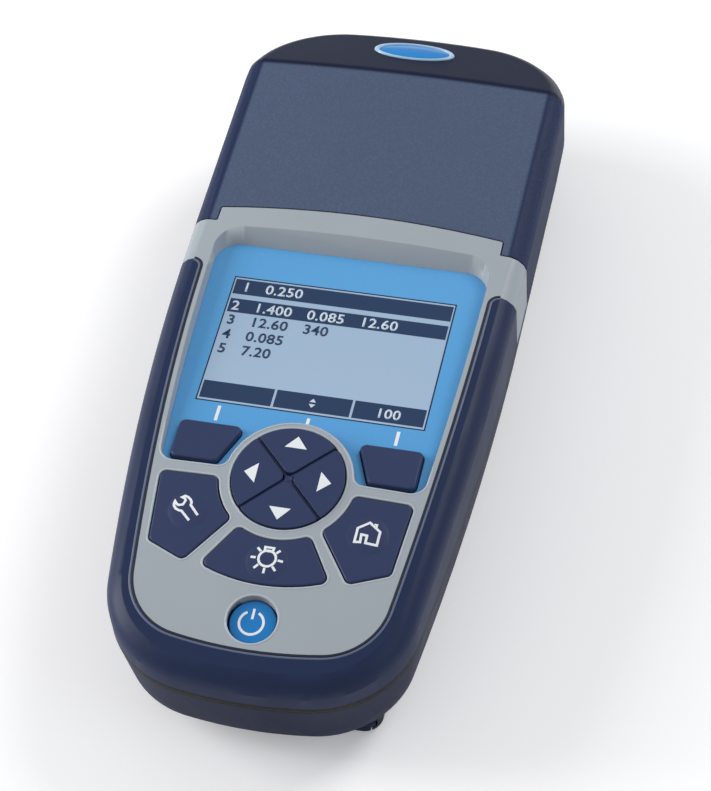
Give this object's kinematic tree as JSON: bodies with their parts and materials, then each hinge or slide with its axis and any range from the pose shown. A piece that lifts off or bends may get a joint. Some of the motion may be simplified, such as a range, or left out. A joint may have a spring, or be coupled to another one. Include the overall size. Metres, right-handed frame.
{
  "type": "portable colorimeter",
  "caption": "Hand-held battery colorimeter: lift-off light cap over a sample well, sunken display, press keys and a sliding battery door.",
  "frame": {"origin": "middle of the footprint, on the plane of the four feet", "axes": "+X to the right seen from the front, +Y along the length towards the cap end, +Z out of the display and keys"},
  "size_m": [0.096, 0.232, 0.048],
  "materials": {
    "shell_grey": "satin grey ABS",
    "band_rubber": "soft dark blue grip",
    "rear_grey": "fine grain",
    "cap_blue": "pebbled slate blue",
    "badge_blue": "domed, plain",
    "panel_blue": "printed overlay",
    "window_clear": "clear acrylic",
    "lcd_grey": "liquid crystal",
    "frame_black": "moulded frame",
    "board_green": "solder mask",
    "chip_black": "moulded epoxy",
    "switch_white": "moulded",
    "steel": "plated",
    "holder_black": "black, low glare",
    "seal_black": "soft seal",
    "foot_rubber": "soft pad",
    "lamp_clear": "clear epoxy",
    "filter_glass": "coloured glass",
    "key_navy": "soft-touch",
    "power_blue": "glossy",
    "cell_wrap": "plain wrap"
  },
  "bodies": {
    "housing": {"front_shell": "shell_grey", "grip_band": "band_rubber", "rear_shell": "rear_grey", "housing_seal": "seal_black", "display_panel": "panel_blue", "display_window": "window_clear", "lcd_glass": "lcd_grey", "lcd_module": "frame_black", "main_board": "board_green", "board_chips": "chip_black", "key_switches": "switch_white", "usb_socket": "steel", "board_screws": "steel", "housing_screws": "steel", "cell_deck": "holder_black", "deck_screws": "steel", "cell_holder": "holder_black", "well_seal": "seal_black", "lamp_board": "board_green", "lamp_leds": "lamp_clear", "lamp_lens": "lamp_clear", "sensor_board": "board_green", "light_sensor": "steel", "sensor_filter": "filter_glass", "battery_contacts": "steel", "upper_feet": "foot_rubber", "battery_cell_1": "cell_wrap", "battery_cell_2": "cell_wrap", "battery_cell_3": "cell_wrap", "battery_cell_4": "cell_wrap"},
    "cap_hood": {"cap": "cap_blue", "cap_badge": "badge_blue"},
    "door": {"battery_door": "rear_grey", "door_feet": "foot_rubber"},
    "key_soft_left_body": {"key_soft_left": "key_navy"},
    "key_soft_right_body": {"key_soft_right": "key_navy"},
    "key_up_body": {"key_up": "key_navy"},
    "key_left_body": {"key_left": "key_navy"},
    "key_down_body": {"key_down": "key_navy"},
    "key_right_body": {"key_right": "key_navy"},
    "key_settings_body": {"key_settings": "key_navy"},
    "key_home_body": {"key_home": "key_navy"},
    "key_light_body": {"key_light": "key_navy"},
    "key_power_body": {"key_power": "power_blue"}
  },
  "joints": [
    {"name": "cap_lift", "type": "slide", "parent": "housing", "child": "cap_hood", "axis": [0, 0, 1], "range_m": [0, 0.12]},
    {"name": "door_slide", "type": "slide", "parent": "housing", "child": "door", "axis": [0, -1, 0], "range_m": [0, 0.085]},
    {"name": "key_soft_left_press", "type": "slide", "parent": "housing", "child": "key_soft_left_body", "axis": [0, 0, -1], "range_m": [0, 0.0008], "stiffness_N_per_m": 1500, "springref_m": -0.0003},
    {"name": "key_soft_right_press", "type": "slide", "parent": "housing", "child": "key_soft_right_body", "axis": [0, 0, -1], "range_m": [0, 0.0008], "stiffness_N_per_m": 1500, "springref_m": -0.0003},
    {"name": "key_up_press", "type": "slide", "parent": "housing", "child": "key_up_body", "axis": [0, 0, -1], "range_m": [0, 0.0008], "stiffness_N_per_m": 1500, "springref_m": -0.0003},
    {"name": "key_left_press", "type": "slide", "parent": "housing", "child": "key_left_body", "axis": [0, 0, -1], "range_m": [0, 0.0008], "stiffness_N_per_m": 1500, "springref_m": -0.0003},
    {"name": "key_down_press", "type": "slide", "parent": "housing", "child": "key_down_body", "axis": [0, 0, -1], "range_m": [0, 0.0008], "stiffness_N_per_m": 1500, "springref_m": -0.0003},
    {"name": "key_right_press", "type": "slide", "parent": "housing", "child": "key_right_body", "axis": [0, 0, -1], "range_m": [0, 0.0008], "stiffness_N_per_m": 1500, "springref_m": -0.0003},
    {"name": "key_settings_press", "type": "slide", "parent": "housing", "child": "key_settings_body", "axis": [0, 0, -1], "range_m": [0, 0.0008], "stiffness_N_per_m": 1500, "springref_m": -0.0003},
    {"name": "key_home_press", "type": "slide", "parent": "housing", "child": "key_home_body", "axis": [0, 0, -1], "range_m": [0, 0.0008], "stiffness_N_per_m": 1500, "springref_m": -0.0003},
    {"name": "key_light_press", "type": "slide", "parent": "housing", "child": "key_light_body", "axis": [0, 0, -1], "range_m": [0, 0.0008], "stiffness_N_per_m": 1500, "springref_m": -0.0003},
    {"name": "key_power_press", "type": "slide", "parent": "housing", "child": "key_power_body", "axis": [0, 0, -1], "range_m": [0, 0.0008], "stiffness_N_per_m": 1500, "springref_m": -0.0003}
  ]
}
